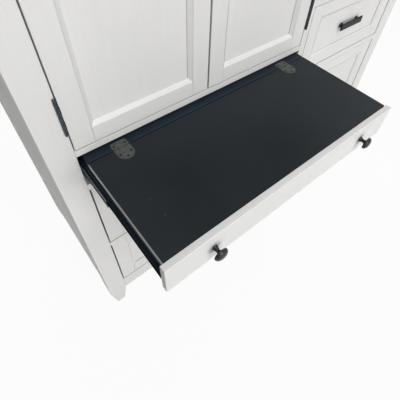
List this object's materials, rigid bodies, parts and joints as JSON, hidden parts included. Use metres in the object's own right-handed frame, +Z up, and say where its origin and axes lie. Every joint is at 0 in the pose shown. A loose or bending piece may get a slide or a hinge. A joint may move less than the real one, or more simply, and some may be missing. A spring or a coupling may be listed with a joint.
{
  "type": "cabinet desk",
  "caption": "White cabinet desk on tapered feet with panelled doors over a pull-out writing tray with a black hinged lid, and framed drawers beside and below with black knobs and bar pulls.",
  "frame": {"origin": "on the floor, under the middle of the whole object's box with the tray drawn out as at rest", "axes": "+X to the right along the front, +Y from the front to the back, +Z up"},
  "size_m": [1.269, 0.803, 1.445],
  "materials": {
    "white_paint": "satin white paint",
    "black_paint": "satin black paint",
    "drawer_wood": "clear lacquer",
    "hardware": "satin black",
    "lid_hinge_metal": "dark bronze",
    "slide_steel": "black",
    "catch_plastic": "matte"
  },
  "bodies": {
    "case": {"post_front_left": "white_paint", "post_front_right": "white_paint", "post_rear_left": "white_paint", "post_rear_right": "white_paint", "side_panel_left": "white_paint", "side_panel_right": "white_paint", "back_panel": "white_paint", "top_board": "white_paint", "top_rail": "white_paint", "bottom_rail": "white_paint", "bottom_board": "white_paint", "waist_deck": "white_paint", "cabinet_floor": "white_paint", "cabinet_shelf": "white_paint", "partition_upper": "white_paint", "partition_lower": "white_paint", "row_rail_left": "white_paint", "drawer_rails_right": "white_paint", "door_catches": "catch_plastic", "door_hinges_case": "hardware", "drawer_runners": "drawer_wood", "tray_slide_outer": "slide_steel"},
    "door_left": {"door_left_frame": "white_paint", "door_left_panel": "white_paint", "door_left_knob": "hardware", "door_left_hinges": "hardware"},
    "door_right": {"door_right_frame": "white_paint", "door_right_panel": "white_paint", "door_right_knob": "hardware", "door_right_hinges": "hardware"},
    "tray": {"tray_box": "black_paint", "tray_front": "white_paint", "tray_knobs": "hardware", "tray_strip": "black_paint", "tray_hinges": "lid_hinge_metal", "tray_slide_inner": "slide_steel"},
    "lid": {"lid_panel": "black_paint", "lid_hinges": "lid_hinge_metal"},
    "slide_middle": {"tray_slide_middle": "slide_steel"},
    "drawer_right_1": {"drawer_right_1_front": "white_paint", "drawer_right_1_box": "drawer_wood", "drawer_right_1_pull": "hardware"},
    "drawer_right_2": {"drawer_right_2_front": "white_paint", "drawer_right_2_box": "drawer_wood", "drawer_right_2_pull": "hardware"},
    "drawer_right_3": {"drawer_right_3_front": "white_paint", "drawer_right_3_box": "drawer_wood", "drawer_right_3_pull": "hardware"},
    "drawer_right_4": {"drawer_right_4_front": "white_paint", "drawer_right_4_box": "drawer_wood", "drawer_right_4_pull": "hardware"},
    "drawer_right_5": {"drawer_right_5_front": "white_paint", "drawer_right_5_box": "drawer_wood", "drawer_right_5_pull": "hardware"},
    "drawer_left_1": {"drawer_left_1_front": "white_paint", "drawer_left_1_box": "drawer_wood", "drawer_left_1_pull": "hardware"},
    "drawer_left_2": {"drawer_left_2_front": "white_paint", "drawer_left_2_box": "drawer_wood", "drawer_left_2_pull": "hardware"}
  },
  "joints": [
    {"name": "tray_slide", "type": "slide", "parent": "case", "child": "tray", "axis": [0, -1, 0], "range_m": [-0.302, 0.04]},
    {"name": "tray_middle_slide", "type": "slide", "parent": "case", "child": "slide_middle", "axis": [0, -1, 0], "range_m": [-0.1208, 0.016]},
    {"name": "lid_hinge", "type": "hinge", "parent": "tray", "child": "lid", "pos_m": [-0.2295, -0.0996, 0.7974], "axis": [-1, 0, 0], "range_deg": [0, 95]},
    {"name": "door_left_hinge", "type": "hinge", "parent": "case", "child": "door_left", "pos_m": [-0.5694, -0.0764, 1.1], "axis": [0, 0, 1], "range_deg": [-110, 0]},
    {"name": "door_right_hinge", "type": "hinge", "parent": "case", "child": "door_right", "pos_m": [0.1104, -0.0764, 1.1], "axis": [0, 0, -1], "range_deg": [-110, 0]},
    {"name": "drawer_right_1_slide", "type": "slide", "parent": "case", "child": "drawer_right_1", "axis": [0, -1, 0], "range_m": [0, 0.32]},
    {"name": "drawer_right_2_slide", "type": "slide", "parent": "case", "child": "drawer_right_2", "axis": [0, -1, 0], "range_m": [0, 0.32]},
    {"name": "drawer_right_3_slide", "type": "slide", "parent": "case", "child": "drawer_right_3", "axis": [0, -1, 0], "range_m": [0, 0.32]},
    {"name": "drawer_right_4_slide", "type": "slide", "parent": "case", "child": "drawer_right_4", "axis": [0, -1, 0], "range_m": [0, 0.32]},
    {"name": "drawer_right_5_slide", "type": "slide", "parent": "case", "child": "drawer_right_5", "axis": [0, -1, 0], "range_m": [0, 0.32]},
    {"name": "drawer_left_1_slide", "type": "slide", "parent": "case", "child": "drawer_left_1", "axis": [0, -1, 0], "range_m": [0, 0.32]},
    {"name": "drawer_left_2_slide", "type": "slide", "parent": "case", "child": "drawer_left_2", "axis": [0, -1, 0], "range_m": [0, 0.32]}
  ],
  "couplings": [
    {"joint": "tray_middle_slide", "follows": "tray_slide", "ratio": 0.4}
  ]
}
